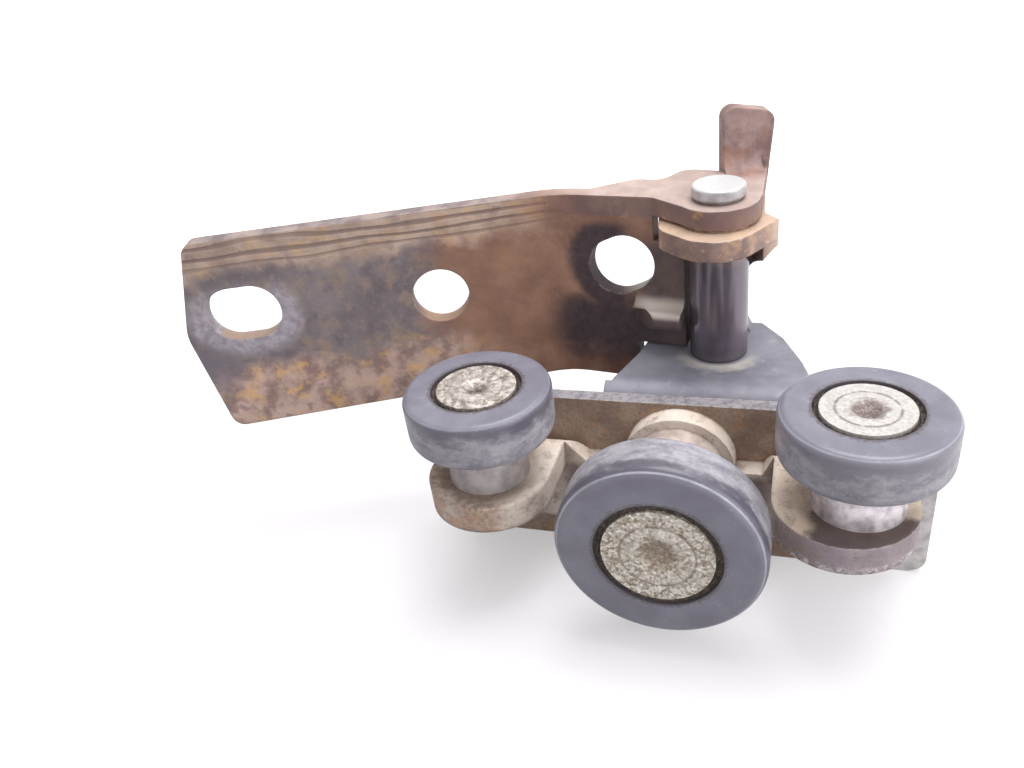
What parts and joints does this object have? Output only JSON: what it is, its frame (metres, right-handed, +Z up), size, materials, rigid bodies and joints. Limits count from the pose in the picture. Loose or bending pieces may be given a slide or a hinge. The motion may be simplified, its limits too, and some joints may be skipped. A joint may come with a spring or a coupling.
{
  "type": "sliding door roller carriage with hinged bracket",
  "caption": "Rusted door bracket hinged by a headed pin to a carriage with upright guide rollers and a larger load roller that run in a sliding door's rail.",
  "frame": {"origin": "centre of the round bolt hole, on the face that lies against the door", "axes": "+X along the bracket's long plate towards the hinge, +Y out of the back face towards the door, +Z up along the hinge pin"},
  "size_m": [0.126, 0.0648, 0.0708],
  "materials": {
    "bracket_rust": "bare steel plate, rusted brown and orange with dark stained patches",
    "pin_steel": "steel worn bright on the head",
    "sleeve_black": "blackened steel, satin",
    "yoke_steel": "blue-grey steel base, rusted tan on the head",
    "plate_brown": "zinc gone brown with dirt",
    "carrier_zinc": "yellowed zinc plate with rust stains",
    "stud_steel": "riveted steel with a pitted, rusty dimple",
    "ring_steel": "pitted bearing steel",
    "washer_steel": "greasy steel",
    "roller_nylon": "slate grey moulded nylon, scuffed on the tread"
  },
  "bodies": {
    "door_bracket": {"door_bracket": "bracket_rust", "hinge_pin": "pin_steel"},
    "carriage": {"hinge_yoke": "yoke_steel", "hinge_sleeve": "sleeve_black", "thrust_washer_upper": "washer_steel", "thrust_washer_lower": "washer_steel", "carriage_plate": "plate_brown", "roller_carrier": "carrier_zinc", "guide_stud_left": "stud_steel", "guide_stud_right": "stud_steel", "load_stud": "stud_steel", "guide_inner_ring_left": "ring_steel", "guide_inner_ring_right": "ring_steel", "load_inner_ring": "ring_steel"},
    "guide_wheel_left": {"guide_roller_left": "roller_nylon", "guide_outer_ring_left": "ring_steel"},
    "guide_ball_set_left": {"guide_balls_left": "ring_steel"},
    "guide_wheel_right": {"guide_roller_right": "roller_nylon", "guide_outer_ring_right": "ring_steel"},
    "guide_ball_set_right": {"guide_balls_right": "ring_steel"},
    "load_wheel": {"load_roller": "roller_nylon", "load_outer_ring": "ring_steel"},
    "load_ball_set": {"load_balls": "ring_steel"}
  },
  "joints": [
    {"name": "carriage_hinge", "type": "hinge", "parent": "door_bracket", "child": "carriage", "pos_m": [0.0489, -0.01561, 0], "axis": [0, 0, 1], "range_deg": [-3, 45]},
    {"name": "guide_spin_left", "type": "hinge", "parent": "carriage", "child": "guide_wheel_left", "pos_m": [0.00592, -0.0333, -0.0025], "axis": [0, 0, 1], "continuous": true},
    {"name": "guide_ball_orbit_left", "type": "hinge", "parent": "carriage", "child": "guide_ball_set_left", "pos_m": [0.00592, -0.0333, -0.0025], "axis": [0, 0, 1], "continuous": true},
    {"name": "guide_spin_right", "type": "hinge", "parent": "carriage", "child": "guide_wheel_right", "pos_m": [0.06002, -0.05278, -0.0025], "axis": [0, 0, 1], "continuous": true},
    {"name": "guide_ball_orbit_right", "type": "hinge", "parent": "carriage", "child": "guide_ball_set_right", "pos_m": [0.06002, -0.05278, -0.0025], "axis": [0, 0, 1], "continuous": true},
    {"name": "load_spin", "type": "hinge", "parent": "carriage", "child": "load_wheel", "pos_m": [0.02974, -0.05527, -0.0226], "axis": [0.3387, 0.9409, 0], "continuous": true},
    {"name": "load_ball_orbit", "type": "hinge", "parent": "carriage", "child": "load_ball_set", "pos_m": [0.02974, -0.05527, -0.0226], "axis": [0.3387, 0.9409, 0], "continuous": true}
  ],
  "couplings": [
    {"joint": "guide_ball_orbit_left", "follows": "guide_spin_left", "ratio": 0.6228},
    {"joint": "guide_ball_orbit_right", "follows": "guide_spin_right", "ratio": 0.6228},
    {"joint": "load_ball_orbit", "follows": "load_spin", "ratio": 0.6227}
  ]
}
